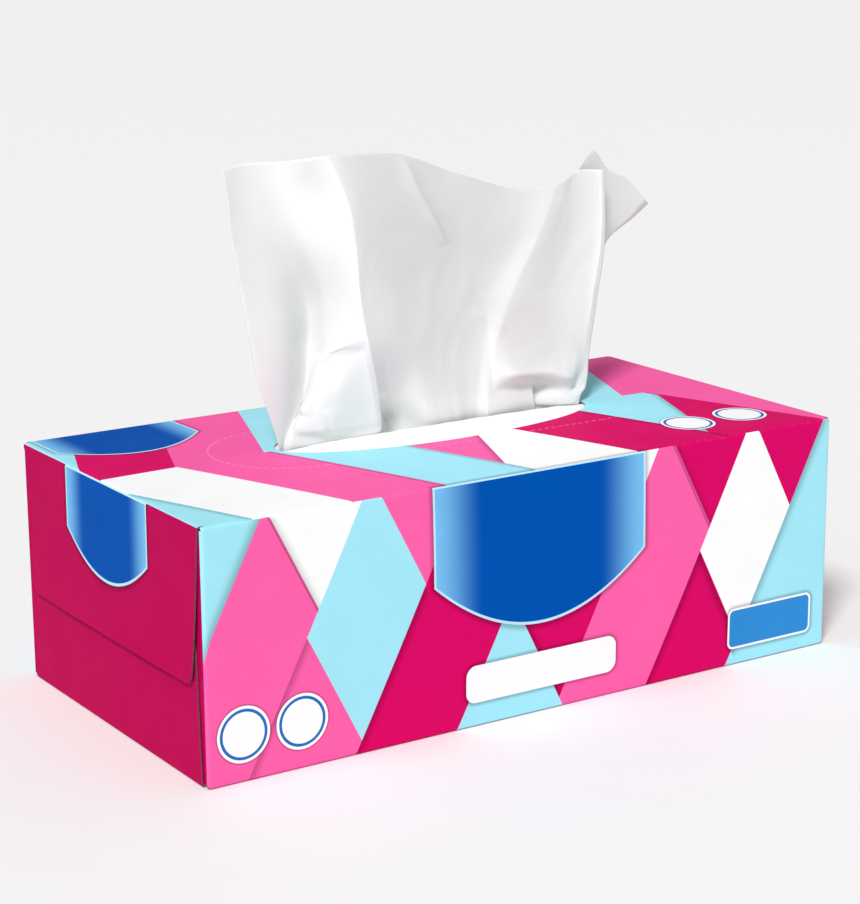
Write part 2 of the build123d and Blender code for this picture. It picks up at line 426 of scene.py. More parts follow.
class Tree:
    """A new material, with short names for building its node tree."""

    def __init__(self, name):
        self.material = bpy.data.materials.new(name)
        self.material.use_nodes = True
        self.tree = self.material.node_tree
        self.tree.nodes.clear()
        out = self.node("ShaderNodeOutputMaterial")
        self.bsdf = self.node("ShaderNodeBsdfPrincipled")
        self.link(self.bsdf.outputs[0], out.inputs[0])

    def node(self, kind, **settings):
        made = self.tree.nodes.new(kind)
        for key, value in settings.items():
            setattr(made, key, value)
        return made

    def link(self, source, target):
        if hasattr(source, "links"):
            self.tree.links.new(source, target)
        else:
            target.default_value = source

    def surface(self, name, value):
        """Sets an input of the shader, or links it."""
        self.link(value, self.bsdf.inputs[name])

    def math(self, operation, *values):
        made = self.node("ShaderNodeMath", operation=operation)
        for value, socket in zip(values, made.inputs):
            self.link(value, socket)
        return made.outputs[0]

    def add(self, a, b):
        return self.math("ADD", a, b)

    def sub(self, a, b):
        return self.math("SUBTRACT", a, b)

    def mul(self, a, b):
        return self.math("MULTIPLY", a, b)

    def least(self, a, b):
        return self.math("MINIMUM", a, b)

    def most(self, a, b):
        return self.math("MAXIMUM", a, b)

    def abs(self, a):
        return self.math("ABSOLUTE", a)

    def below(self, a, b):
        return self.math("LESS_THAN", a, b)

    def above(self, a, b):
        return self.math("GREATER_THAN", a, b)

    def ramp_to(self, value, low, high, out_low=0.0, out_high=1.0, smooth=True):
        kind = "SMOOTHSTEP" if smooth else "LINEAR"
        made = self.node("ShaderNodeMapRange", interpolation_type=kind, clamp=True)
        for v, socket in zip((value, low, high, out_low, out_high), made.inputs):
            self.link(v, socket)
        return made.outputs[0]

    def mix(self, factor, a, b):
        made = self.node("ShaderNodeMix", data_type="RGBA", clamp_factor=True)
        self.link(factor, made.inputs[0])
        self.link(a, made.inputs[6])
        self.link(b, made.inputs[7])
        return made.outputs[2]

    def pick(self, factor, a, b):
        made = self.node("ShaderNodeMix", data_type="FLOAT")
        self.link(factor, made.inputs[0])
        self.link(a, made.inputs[2])
        self.link(b, made.inputs[3])
        return made.outputs[0]

    def bands(self, value, low, high, first, *edges):
        """A colour for each stretch of a value: the first one, then (start, colour) pairs."""
        made = self.node("ShaderNodeValToRGB")
        ramp = made.color_ramp
        ramp.interpolation = "CONSTANT"
        ramp.elements[0].position = 0.0
        ramp.elements[0].color = first
        while len(ramp.elements) > 1:
            ramp.elements.remove(ramp.elements[-1])
        for start, colour in edges:
            element = ramp.elements.new((start - low) / (high - low))
            element.color = colour
        self.link(self.ramp_to(value, low, high, smooth=False), made.inputs[0])
        return made.outputs[0]

    def noise(self, vector, scale, detail=3.0, rough=0.55):
        made = self.node("ShaderNodeTexNoise")
        self.link(vector, made.inputs["Vector"])
        made.inputs["Scale"].default_value = scale
        made.inputs["Detail"].default_value = detail
        made.inputs["Roughness"].default_value = rough
        return made.outputs["Fac"]

    def bump(self, height, strength, distance, normal=None):
        made = self.node("ShaderNodeBump")
        made.inputs["Strength"].default_value = strength
        made.inputs["Distance"].default_value = distance
        self.link(height, made.inputs["Height"])
        if normal is not None:
            self.link(normal, made.inputs["Normal"])
        return made.outputs[0]

    def rounded_box(self, x, y, cx, cy, half_x, half_y, radius):
        """Signed distance from a rounded rectangle."""
        dx = self.sub(self.abs(self.sub(x, cx)), half_x - radius)
        dy = self.sub(self.abs(self.sub(y, cy)), half_y - radius)
        out_x, out_y = self.most(dx, 0.0), self.most(dy, 0.0)
        outside = self.math("SQRT", self.add(self.mul(out_x, out_x), self.mul(out_y, out_y)))
        inside = self.least(self.most(dx, dy), 0.0)
        return self.sub(self.add(outside, inside), radius)


# Print, in millimetres on the blank: x from the left edge, s down from the top front edge. The slanted
# lines have p = x - slant and q = x + slant
FRONT_SLANT, TOP_SLANT = 0.51, 0.38
TOP_TURN = -61.0  # s where the bands of the top panel turn
BAND_RANGE = (-80.0, 320.0)
# Rows of diamonds on the front and back: q where a row starts, its first colour, and p where others start
FRONT_ROWS = (
    (None, (SKY,)),
    (18.8, (PINK, (20.7, WHITE))),
    (51.2, (PINK, (13.4, SKY), (56.5, PINK))),
    (86.0, (MAGENTA, (100.0, WHITE))),
    (120.6, (SKY, (82.4, MAGENTA), (128.0, WHITE))),
    (155.8, (SKY, (82.2, PINK), (161.0, MAGENTA))),
    (190.0, (MAGENTA, (154.0, WHITE), (195.0, MAGENTA))),
    (221.6, (SKY,)),
)
# Bands of the top panel, in front of its turn on p and behind it on q
TOP_NEAR = (
    SKY, (16.5, WHITE), (47.3, PINK), (78.0, SKY), (110.5, WHITE), (147.3, MAGENTA), (220.5, PINK),
)
TOP_FAR = (
    SKY, (-29.9, MAGENTA), (0.7, PINK), (30.5, SKY), (64.0, WHITE), (101.0, MAGENTA), (137.0, SKY),
    (165.0, PINK),
)
# Diamonds laid over the near bands: from p to p, up to q, and the colour
TOP_DIAMONDS = ((110.5, 147.3, 102.7, PINK), (183.4, 220.5, 178.0, SKY))
# Soft printed shadows: the line on p or q, the side that is shaded, and the stretch of the other one
FRONT_SHADOWS = (
    ("p", 20.7, 1, 18.8, 51.2), ("q", 51.2, 1, -40, 13.4), ("q", 86.0, 1, -40, 56.5),
    ("p", 161.0, 1, 155.8, 190), ("p", 154.0, -1, 190, 221.6), ("q", 18.8, -1, -60, 21),
    ("q", 190.0, 1, 60, 154), ("p", 82.4, 1, 120.6, 155.8), ("q", 221.6, 1, 150, 230),
)
TOP_SHADOWS = (
    ("p", 16.5, -1, -80, 60), ("p", 78.0, 1, -80, 90), ("p", 110.5, -1, -80, 130),
    ("q", 102.7, -1, 110.5, 147.3), ("q", 178.0, -1, 183.4, 220.5), ("p", 183.4, -1, 0, 230),
)
FRONT_SHADOW, TOP_SHADOW = (5.0, 0.62), (4.0, 0.6)  # width and strength
# Plain blue panels: the middle, the half width, the straight part of the sides and the curved part below
FRONT_APRON = (112.6, 38.1, 30.0, 17.0)
TOP_APRON = (27.0, 24.0, 19.0, 14.0)
END_APRON = (-SIDE_Y, 26.5, 19.0, 11.0)
# Bare plates: the middle on x and s, the half sides and the corner radius
WHITE_PLATE = (112.8, 61.7, 27.3, 5.8, 3.4)
BLUE_PLATE = (201.3, 63.0, 17.1, 6.7, 2.4)
DISCS = ((11.9, 60.9, 8.3), (30.5, 60.9, 8.3), (182.6, -19.4, 8.6), (203.8, -19.8, 8.6))
RING_IN, RING_HALF = 1.3, 0.45  # from a disc's edge to its ring, and half the ring's width
BORDER = 0.7
APRON_SHADOW, PLATE_SHADOW, DISC_SHADOW = 2.0, 1.6, 0.8

# Perforated line round the opening: half its straight part, its round ends and its dashes
PERFORATION_STRAIGHT, PERFORATION_RADIUS = 50.0, 24.0
DASH_PITCH, DASH_SHARE, DASH_HALF = 2.6, 0.55, 0.16

# Fineness of the ink's unevenness, the wear, the coating and the fibres, and the bumps in metres
INK_SCALE, WEAR_SCALE, COATING_SCALE, FIBRE_SCALE = 60.0, 900.0, 2600.0, 1400.0
BOARD_BUMP = 0.0002
WEAR_WIDTH = 1.1  # on both sides of a fold, in millimetres


def printed_shadows(t, colour, p, q, shadows, width, strength):
    for crossed, line, side, low, high in shadows:
        along, across = (p, q) if crossed == "p" else (q, p)
        distance = t.mul(t.sub(along, line), side)
        shade = t.ramp_to(distance, 0.0, width, strength, 0.0)
        shade = t.mul(t.mul(shade, shade), t.above(distance, 0.0))
        shade = t.mul(shade, t.mul(t.above(across, low), t.below(across, high)))
        colour = t.mix(shade, colour, BLACK)
    return colour


def patch(t, colour, distance, fill, width=0.0, border=None, shadow=0.0):
    """Lays a shape with the given signed distance over the colour."""
    if shadow:
        soft = t.ramp_to(distance, 0.0, shadow, 0.45, 0.0)
        colour = t.mix(soft, colour, BLACK)
    if border is not None:
        colour = t.mix(t.below(distance, 0.0), colour, border)
    return t.mix(t.below(distance, -width), colour, fill)


def apron(t, colour, along, down, middle, half, straight, drop):
    """A plain panel that hangs from an edge, with a curved lower side."""
    across = t.sub(along, middle)
    u = t.mul(across, 1 / half)
    curve = t.mul(t.sub(1.0, t.mul(u, u)), drop)
    below_edge = t.mul(t.sub(t.sub(down, straight), curve), 0.8)
    beside = t.sub(t.abs(across), half)
    distance = t.most(t.most(below_edge, beside), t.mul(down, -1.0))
    fill = t.mix(t.ramp_to(t.abs(u), 0.55, 1.0), BLUE, PALE_BLUE)
    return patch(t, colour, distance, fill, BORDER, APRON_BORDER, APRON_SHADOW)


def print_colour(t, x, s):
    """The printed colour at a place on the blank."""
    on_back = t.below(s, -WIDTH)
    x = t.pick(on_back, x, t.sub(LENGTH, x))
    s = t.pick(on_back, s, t.sub(-WIDTH, s))
    slant = t.add(t.mul(t.most(s, 0.0), FRONT_SLANT), t.mul(t.least(s, 0.0), TOP_SLANT))
    p, q = t.sub(x, slant), t.add(x, slant)

    # Front and back: slanted rows of diamonds, each row cut across
    front = None
    for start, colours in FRONT_ROWS:
        row = t.bands(p, *BAND_RANGE, *colours)
        front = row if front is None else t.mix(t.above(q, start), front, row)
    front = printed_shadows(t, front, p, q, FRONT_SHADOWS, *FRONT_SHADOW)

    # Top: bands that turn along its middle
    near = t.bands(p, *BAND_RANGE, *TOP_NEAR)
    for low, high, end, colour in TOP_DIAMONDS:
        diamond = t.mul(t.mul(t.above(p, low), t.below(p, high)), t.below(q, end))
        near = t.mix(diamond, near, colour)
    near = printed_shadows(t, near, p, q, TOP_SHADOWS, *TOP_SHADOW)
    far = t.bands(q, *BAND_RANGE, *TOP_FAR)
    top = t.mix(t.below(s, TOP_TURN), near, far)
    colour = t.mix(t.above(s, 0.0), top, front)

    # Ends and bottom are plain, in a darker copy of the magenta that is painted shade
    from_middle = t.abs(t.sub(x, LENGTH / 2))
    printed_half = t.add(t.mul(t.above(s, 0.0), PRINT_WRAP), LENGTH / 2)
    past_end = t.above(from_middle, printed_half)
    plain = t.most(past_end, t.above(s, HEIGHT))
    colour = t.mix(plain, colour, PAINTED_SHADE_MAGENTA)

    # Plain blue panels on the front and back, the top and the ends
    colour = apron(t, colour, x, s, *FRONT_APRON)
    on_top = t.mul(t.below(s, 0.0), t.sub(1.0, on_back))
    top_apron = apron(t, colour, x, t.add(s, WIDTH), *TOP_APRON)
    colour = t.mix(t.mul(on_top, t.sub(1.0, past_end)), colour, top_apron)
    end_apron = apron(t, colour, s, t.sub(from_middle, LENGTH / 2), *END_APRON)
    colour = t.mix(t.mul(on_top, past_end), colour, end_apron)

    # Bare plates: a white one, a blue one with a white border, and round ones with a ring
    colour = patch(t, colour, t.rounded_box(x, s, *WHITE_PLATE), WHITE, shadow=PLATE_SHADOW)
    colour = patch(t, colour, t.rounded_box(x, s, *BLUE_PLATE), LABEL_BLUE, BORDER, WHITE, PLATE_SHADOW)
    for disc_x, disc_s, radius in DISCS:
        distance = t.rounded_box(x, s, disc_x, disc_s, radius, radius, radius)
        colour = patch(t, colour, distance, WHITE, shadow=DISC_SHADOW)
        ring = t.below(t.abs(t.add(distance, RING_IN)), RING_HALF)
        colour = t.mix(ring, colour, RING_BLUE)
    return colour


def printed_board():
    t = Tree("printed_board")
    uv = t.node("ShaderNodeUVMap", uv_map="print").outputs[0]
    parts = t.node("ShaderNodeSeparateXYZ")
    t.link(uv, parts.inputs[0])
    x = t.add(t.mul(parts.outputs[0], 1 / MM), LENGTH / 2)
    s = t.mul(parts.outputs[1], 1 / MM)
    colour = print_colour(t, x, s)

    # Perforated line round the opening
    from_middle = t.abs(t.sub(x, LENGTH / 2))
    dx = t.sub(from_middle, PERFORATION_STRAIGHT)
    dy = t.add(s, SIDE_Y + OPENING_AT[1])
    past = t.most(dx, 0.0)
    away = t.math("SQRT", t.add(t.mul(past, past), t.mul(dy, dy)))
    round_end = t.mul(t.math("ARCTAN2", past, dy), PERFORATION_RADIUS)
    along = t.pick(t.above(dx, 0.0), x, round_end)
    dash = t.below(t.math("FRACT", t.mul(along, 1 / DASH_PITCH)), DASH_SHARE)
    on_line = t.below(t.abs(t.sub(away, PERFORATION_RADIUS)), DASH_HALF)
    cut = t.mul(dash, on_line)
    colour = t.mix(t.mul(cut, 0.4), colour, srgb(245, 240, 242))

    # Ink slightly uneven, and fibres that show along the folds
    spread = t.noise(uv, INK_SCALE, 4.0)
    colour = t.mix(t.ramp_to(spread, 0.3, 0.7, 0.0, 0.035), colour, BLACK)
    fold = None
    for line in (0.0, -WIDTH, HEIGHT):
        distance = t.abs(t.sub(s, line))
        fold = distance if fold is None else t.least(fold, distance)
    fold = t.least(fold, t.abs(t.sub(from_middle, LENGTH / 2)))
    beside_fold = t.ramp_to(fold, 0.0, WEAR_WIDTH, 1.0, 0.0)
    rub = t.noise(uv, WEAR_SCALE, 5.0, 0.7)
    worn = t.mul(beside_fold, t.ramp_to(rub, 0.5, 0.72, 0.0, 0.06))
    colour = t.mix(worn, colour, WHITE)
    t.surface("Base Color", colour)
    t.surface("Specular IOR Level", 0.012)
    t.surface("Roughness", t.ramp_to(spread, 0.2, 0.8, 0.42, 0.52))
    grain = t.noise(uv, COATING_SCALE, 2.0)
    normal = t.bump(grain, 0.05, BOARD_BUMP)
    normal = t.bump(t.sub(1.0, cut), 0.35, BOARD_BUMP, normal)
    t.surface("Normal", normal)
    return t.material


def plain_board(name, light, dark):
    """Uncoated board with its fibres, for the inside and the cut edges; the cut edges' dark maroon is
    painted shade of the gaps beside them.
    """
    t = Tree(name)
    place = t.node("ShaderNodeTexCoord").outputs["Object"]
    fibres = t.noise(place, FIBRE_SCALE, 5.0, 0.7)
    t.surface("Base Color", t.mix(t.ramp_to(fibres, 0.35, 0.65), dark, light))
    t.surface("Roughness", 0.85)
    t.surface("Normal", t.bump(fibres, 0.2, BOARD_BUMP))
    return t.material


# Carton
carton = make_carton([
    printed_board(),
    plain_board("board_inside", srgb(198, 194, 188), srgb(176, 171, 164)),
    # Cut edges in dark maroon: painted shade of the gaps along the flaps' edges, not the board's own
    # colour
    plain_board("board_edge_painted_shade", srgb(132, 78, 96), srgb(106, 54, 72)),
])
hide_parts("carton")
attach(carton, "root")


# Standing tissue

# Points where its folds run, from its left edge to its loose right edge: each fold from the top edge
# down to the slit, in millimetres.
TISSUE_FOLDS = (
    ((-70.5, 2, 161), (-69.5, 2, 155.5), (-68, 2.5, 142.5), (-64, 4, 122),
     (-61.5, 4.5, 108.5), (-58.5, 4, 94), (-53, 3.5, 76)),
    ((-65.5, 2.5, 162), (-63, 3.5, 155), (-58, 4.5, 140), (-51, 5, 119.5),
     (-50, 4.5, 105.5), (-50.5, 4.5, 90.5), (-52, 4, 76)),
    ((-60.5, 2, 162.5), (-57, 3, 154.5), (-48, 5.5, 138.5), (-38, 10.5, 117.5),
     (-38, 11, 102.5), (-41.5, 8.5, 87.5), (-50.5, 4.5, 76)),
    ((-53.5, 0, 162.5), (-51, 1, 154), (-44, 1.5, 138.5), (-36.5, 3, 119.5),
     (-35.5, 4, 102.5), (-41.5, 2, 90), (-49, 2.5, 76)),
    ((-47.5, -5.5, 163.5), (-43.5, -3, 154), (-39, -2.5, 138.5), (-32.5, -1.5, 119.5),
     (-31, -2, 105), (-37, -2.5, 90.5), (-36, -0.5, 76)),
    ((-40.5, -7, 164), (-35, -7.5, 152), (-32, -7.5, 138.5), (-29.5, -6.5, 120),
     (-26, -5.5, 104), (-22, -3, 90), (-19.5, 0, 76)),
    ((-33.5, -5.5, 163.5), (-29.5, -6, 151.5), (-26.5, -5.5, 138), (-23.5, -4.5, 119.5),
     (-20, -3, 103), (-13.5, 3.5, 86.5), (-10.5, 6, 76)),
    ((-9, 2.5, 161), (-5.5, 2, 149.5), (1.5, 3, 134.5), (-1.5, 2.5, 115.5),
     (-1.5, 2, 100.5), (-2, 1.5, 86.5), (-0.5, 0.5, 76)),
    ((17.5, 8, 152), (18.5, 8, 144), (18.5, 7.5, 131.5), (15, 6, 113.5),
     (11, 4.5, 98.5), (9.5, 2.5, 85.5), (9, 0.5, 76)),
    ((42, 11, 145.5), (41, 10.5, 139.5), (37.5, 9.5, 128.5), (26.5, 7, 112.5),
     (21.5, 5, 97), (18.5, 3, 84), (17, 1, 76)),
    ((53.5, 10, 146), (51, 9.5, 140), (45, 8.5, 129), (33, 6, 111.5),
     (25.5, 4, 96.5), (22, 2, 84), (20.5, 0, 76)),
    ((63.5, 12, 149.5), (63, 11.5, 140), (60.5, 11, 127.5), (53, 9, 109),
     (48, 7, 93.5), (41.5, 4, 83), (38, 2, 76)),
    ((73.5, 11, 149), (73.5, 10.5, 141), (73, 10, 126.5), (69, 8.5, 107),
     (65.5, 7, 91), (63, 5, 81), (58.5, 2.5, 76)),
    ((64.5, 13.5, 148), (65, 13.5, 141), (64, 13, 126.5), (61, 11.5, 107.5),
     (57.5, 9.5, 92), (55, 6.5, 82), (53.5, 4.5, 76)),
    ((72, 15, 155), (72, 15, 143), (70, 14.5, 126.5), (65.5, 12.5, 107),
     (62, 10, 91.5), (58, 7, 81.5), (55, 5, 76)),
    ((80.5, 17, 147.5), (81.5, 17, 139), (76.5, 16.5, 125), (69, 14, 106.5),
     (65, 10.5, 91), (60.5, 7, 81), (56, 4.5, 76)),
    ((88, 18, 144.5), (86.5, 18, 136.5), (78.5, 17, 125), (71, 14.5, 106),
     (66, 11, 90.5), (61.5, 7, 81), (56.5, 4.5, 76)),
    ((98, 19, 135), (92, 19, 131), (80.5, 18, 124.5), (72.5, 15, 106),
     (67, 11, 90.5), (62.5, 7, 81), (57, 4, 76)),
)
# How sharply the tissue is creased along each fold: 0 is a soft bend, 1 a hard crease
FOLD_SHARP = (
    0.0, 0.0, 0.35, 0.2, 0.0, 0.95, 0.15, 0.3, 0.0, 0.1, 0.6, 0.0, 0.85, 0.6, 0.0, 0.2, 0.0, 0.0,
)
# How white it looks along each fold, at the top edge and lower down: 1 where layers lie together,
# 0 where light comes through a single one. Partly painted light and shade: some folds are set whiter
# on their lit sides and greyer on their shaded sides.
FOLD_PLIES_AND_PAINTED_SHADE = (
    (0.6, 0.6, 0.8, 1.0, 1.0, 1.0, 0.35, 0.0, 0.0, 0.0, 0.3, 0.1, 0.9, 0.2, 0.0, 0.2, 0.3, 0.3),
    (0.6, 0.3, 0.0, 0.2, 0.6, 1.0, 0.9, 0.2, 0.1, 0.2, 0.5, 0.2, 0.9, 0.2, 0.0, 0.2, 0.3, 0.3),
)
RIGHT_EDGE = 12  # fold where the tissue turns back
# Directions in which the creases are placed: to the right and up, seen from the left front
SEEN_RIGHT, SEEN_UP = (0.8384, -0.5451, -0.0072), (0.1393, 0.2015, 0.9695)
# Creases: the path to the right and up, how far the crease stands out and how wide it is
CREASES = (
    (((-10, 155), (-6, 145), (3.5, 129.5)), 1.4, 2.4),
    (((11, 110), (16, 108), (22.5, 104.5)), 0.6, 1.8),
    (((-22, 100), (-20, 89), (-18.5, 80), (-18, 70)), 0.8, 2.0),
    (((-31.5, 68), (-30.5, 73.5), (-32.5, 79)), 0.8, 2.0),
)
# Tucks: the path, how far the tuck stands out, or in where negative, the reach on the left of the path,
# the drop on its right, and the share of the path in which it begins
TUCKS = (
    (((18, 90), (23, 90.5), (29, 91), (36, 91), (42, 89.5), (45, 87.5)), 4.0, 7, 5.0, 0.2),
    (((32.0, 88), (33.4, 80), (34.6, 66)), -4.2, 3.5, 1.2, 0.15),
    (((-42.5, 72.5), (-37, 72.5), (-32, 73.5)), 1.2, 5, 2.4, 0.2),
    (((33, 81), (40.5, 81), (50, 82.5)), 1.2, 5, 1.5, 0.2),
)
FACET = (((-41, 77), (-38, 85), (-34.5, 92.5), (-30, 96.5), (-21, 101)), 2.1, 8, 4.2, 0.06)
FACET_FOLDS = (2, 3)  # between which the facet comes in
POCKET = (((-11, 68.5), (-13, 75), (-16.5, 84)), -2.8, 3.5, 1.2, 0.05)
POCKET_FOLD, POCKET_FADE = 5, 3.0  # past which the pocket comes in
CREASE_END, TUCK_END = 0.3, 0.2  # shares of a path in which it ends
EDGE_FADE = 6.0  # in front of the right edge, where the creases end
EDGE_CREASE_IN, EDGE_CREASE_ENDS = 2.5, (-9.0, 60.0)  # pressed line beside the right edge
EDGE_CREASE, EDGE_CREASE_WIDTH = 0.7, 2.0

# Rumple by place on the flat sheet: the sizes across and down, and the seed
SOFT, BENT, FINE = (30, 38, 1.7), (17, 21, 5.3), (6.5, 9, 8.1)
SOFT_HEIGHT, BENT_HEIGHT, FINE_HEIGHT = 0.7, 0.45, 0.16
RUMPLE_LEVELS = (76, 90)  # heights between which it comes in
# Small gathers above the slit: their height, pitch and unevenness, and how they end
GATHER, GATHER_PITCH, GATHER_SHIFT, GATHER_SHIFT_SIZE = 0.08, 9.5, 2.2, 13
GATHER_LEVEL, GATHER_FALL, GATHER_ENDS = 75, 5, (4, 12)

TISSUE = 0.2
TISSUE_FOOT = 71.6  # height where it meets the stack
FOOT_GATHER = 0.6  # share of the depth at the slit that is left at the foot
FOOT_FADE = 3.0  # above the foot, within which the creases come in
LIP_CLEARANCE = 0.45  # from the middle of the tissue to the lips of the slit
LIP_TOP, LIP_FADE = 77.3, 3.0  # height up to which it is kept clear, and the stretch above that
PLIES_AND_PAINTED_SHADE_LEVELS = (20, 42)  # down from the top edge, between which the plies and painted shade change over

# Mesh of the tissue: points across and down, closer together at these folds and levels
ACROSS_POINTS, ACROSS_DENSE = 272, (3, 5, 6, 10, 11, 12)
DOWN_POINTS, DOWN_DENSE = 168, ((4, 0), (5, 2))  # the level, and millimetres below it
ACROSS_MORE, DOWN_MORE = (1.2, 3.5), (0.8, 7)  # how many more, and within how many millimetres
# Folds that are bent hard at a level, and how hard
HARD_BENDS = (((3, 4, 5), 4), ((10, 11), 5))
HARD_BEND = 0.5


def through(points, knots, sharp, at):
    """A curve through points, smooth except where sharp is near 1. The first axis holds the points."""
    points, knots = np.asarray(points, float), np.asarray(knots, float)
    step = np.diff(knots)
    extra = (1,) * (points.ndim - 1)
    slope = np.diff(points, axis=0) / step.reshape(-1, *extra)
    before = np.concatenate([slope[:1], slope])
    after = np.concatenate([slope, slope[-1:]])
    h_before = np.concatenate([step[:1], step]).reshape(-1, *extra)
    h_after = np.concatenate([step, step[-1:]]).reshape(-1, *extra)
    smooth = (after * h_before + before * h_after) / (h_before + h_after)
    sharp = np.asarray(sharp, float)
    sharp = sharp.reshape(sharp.shape + (1,) * (points.ndim - sharp.ndim))
    m_in = smooth + (before - smooth) * sharp
    m_out = smooth + (after - smooth) * sharp
    i = np.clip(np.searchsorted(knots, at, side="right") - 1, 0, len(step) - 1)
    h = step[i].reshape(-1, *extra)
    w = ((at - knots[i]) / step[i]).reshape(-1, *extra)
    return (
        (1 + 2 * w) * (1 - w) ** 2 * points[i] + w * (1 - w) ** 2 * h * m_out[i]
        + w * w * (3 - 2 * w) * points[i + 1] + w * w * (w - 1) * h * m_in[i + 1]
    )


def spacing(points, axis):
    """Mean distance from the start along an axis of a grid of points."""
    run = np.linalg.norm(np.diff(points, axis=axis), axis=-1)
    run = run.mean(axis=1 - axis)
    return np.concatenate([[0], np.cumsum(run)])


def grid_normals(p):
    du, dv = np.gradient(p, axis=0), np.gradient(p, axis=1)
    n = np.cross(du, dv)
    return n / np.maximum(np.linalg.norm(n, axis=-1, keepdims=True), 1e-9)


def line_place(x, z, path):
    """For each point: its distance from a line, which side of the line it is on, and how far along the
    line it lies, from 0 to 1."""
    best = np.full_like(x, 1e9)
    side, along = np.zeros_like(x), np.zeros_like(x)
    runs = [math.dist(a, b) for a, b in zip(path, path[1:])]
    done = 0.0
    for (ax, az), (bx, bz), run in zip(path, path[1:], runs):
        dx, dz = (bx - ax) / run, (bz - az) / run
        t = np.clip((x - ax) * dx + (z - az) * dz, 0, run)
        away = np.hypot(x - ax - t * dx, z - az - t * dz)
        near = away < best
        side = np.where(near, np.sign(dx * (z - az) - dz * (x - ax)), side)
        along = np.where(near, (done + t) / sum(runs), along)
        best = np.minimum(best, away)
        done += run
    return best, side, along


def fade_ends(along, start, end):
    """0 at both ends of a line, and 1 between the shares of it in which it begins and ends."""
    rise = np.clip(along / start, 0, 1)
    fall = np.clip((1 - along) / end, 0, 1)
    return rise * (2 - rise) * fall * (2 - fall)


def crease(x, z, path, height, width):
    """A sharp ridge along a line, or a valley where height is negative."""
    away, _, along = line_place(x, z, path)
    return height * np.exp(-away / width) * fade_ends(along, CREASE_END, CREASE_END)


def tuck(x, z, path, height, reach, drop, start):
    """A fold that stands out along a line. It falls off slowly on the left of the line, as one walks
    along it, and within the drop on its right."""
    away, side, along = line_place(x, z, path)
    t = np.clip(away / drop, 0, 1)
    level = np.where(side > 0, np.exp(-away / reach), 1 - t * t * (3 - 2 * t))
    return height * level * fade_ends(along, start, TUCK_END)


def dense(low, high, count, places, more, width):
    """Numbers from low to high, closer together near the given places."""
    fine = np.linspace(low, high, 4000)
    weight = np.ones_like(fine)
    for place in places:
        weight += more * np.exp(-((fine - place) / width) ** 2)
    share = np.concatenate([[0], np.cumsum((weight[1:] + weight[:-1]) / 2)])
    return np.interp(np.linspace(0, share[-1], count), share, fine)


def tissue_grid():
    """Places of the tissue's points, before its creases, with their places on the flat sheet and the
    places of the folds there."""
    folds = np.array(TISSUE_FOLDS)
    foot = folds[:, -1].copy()
    foot[:, 1] = OPENING_AT[1] + (foot[:, 1] - OPENING_AT[1]) * FOOT_GATHER
    foot[:, 2] = TISSUE_FOOT
    folds = np.concatenate([folds, foot[:, None]], axis=1)
    across, down = spacing(folds, 0), spacing(folds, 1)
    u = dense(0, across[-1], ACROSS_POINTS, [across[i] for i in ACROSS_DENSE], *ACROSS_MORE)
    v = dense(0, down[-1], DOWN_POINTS, [down[i] + below for i, below in DOWN_DENSE], *DOWN_MORE)
    rows = through(folds, across, FOLD_SHARP, u)
    hard = np.zeros(folds.shape[:2])
    for bent, level in HARD_BENDS:
        hard[list(bent), level] = HARD_BEND
    hard = np.stack([np.interp(u, across, hard[:, j]) for j in range(hard.shape[1])])
    p = through(np.swapaxes(rows, 0, 1), down, hard, v)
    return np.swapaxes(p, 0, 1), u, v, across


def tissue_rumple(uu, vv):
    """Soft unevenness and a few faint crumpled lines, by place on the flat sheet."""
    out = np.zeros_like(uu)
    for index in np.ndindex(*uu.shape):
        a, b = uu[index], vv[index]
        soft = noise.noise(Vector((a / SOFT[0], b / SOFT[1], SOFT[2])))
        bent = noise.noise(Vector((a / BENT[0] + 0.35 * soft, b / BENT[1] + 0.2 * soft, BENT[2])))
        fine = noise.noise(Vector((a / FINE[0], b / FINE[1], FINE[2])))
        lines = BENT_HEIGHT * (0.3 - abs(bent)) + FINE_HEIGHT * (0.3 - abs(fine))
        out[index] = SOFT_HEIGHT * soft + lines
    return out


def between_lips(p):
    """Places across the box, drawn in so that the tissue stays clear of the lips of the slit."""
    share = (p[..., 0] - OPENING_AT[0]) / SLIT_HALF[0]
    room = SLIT_HALF[1] * np.sqrt(np.clip(1 - share ** 2, 0, 1)) - LIP_CLEARANCE
    room = np.maximum(room, 0)
    off = p[..., 1] - OPENING_AT[1]
    held = np.clip(off, -room, room)
    at_lips = ramp(p[..., 2], LIP_TOP + LIP_FADE, LIP_TOP)
    return OPENING_AT[1] + off + (held - off) * at_lips


def tissue_creases(p, uu, vv, across):
    """How far each point of the tissue stands out of the smooth sheet."""
    x, z = p @ np.array(SEEN_RIGHT), p @ np.array(SEEN_UP)
    height = p[..., 2]
    right_edge = across[RIGHT_EDGE]
    push = sum(crease(x, z, *shape) for shape in CREASES)
    push += sum(tuck(x, z, *shape) for shape in TUCKS)
    push += tuck(x, z, *FACET) * ramp(uu, *(across[i] for i in FACET_FOLDS))
    push += tuck(x, z, *POCKET) * ramp(uu, across[POCKET_FOLD], across[POCKET_FOLD] + POCKET_FADE)
    push *= ramp(uu, right_edge, right_edge - EDGE_FADE)
    push += tissue_rumple(uu, vv) * ramp(height, *RUMPLE_LEVELS)
    gathers = np.sin(uu * 2 * np.pi / GATHER_PITCH + GATHER_SHIFT * np.sin(uu / GATHER_SHIFT_SIZE))
    gathers *= np.exp(-np.maximum(height - GATHER_LEVEL, 0) / GATHER_FALL)
    push += GATHER * gathers * ramp(uu, *GATHER_ENDS) * ramp(across[-1] - uu, *GATHER_ENDS)
    edge_line = [(right_edge - EDGE_CREASE_IN, end) for end in EDGE_CREASE_ENDS]
    push += crease(uu, vv, edge_line, EDGE_CREASE, EDGE_CREASE_WIDTH)
    return push * ramp(height, TISSUE_FOOT, TISSUE_FOOT + FOOT_FADE)


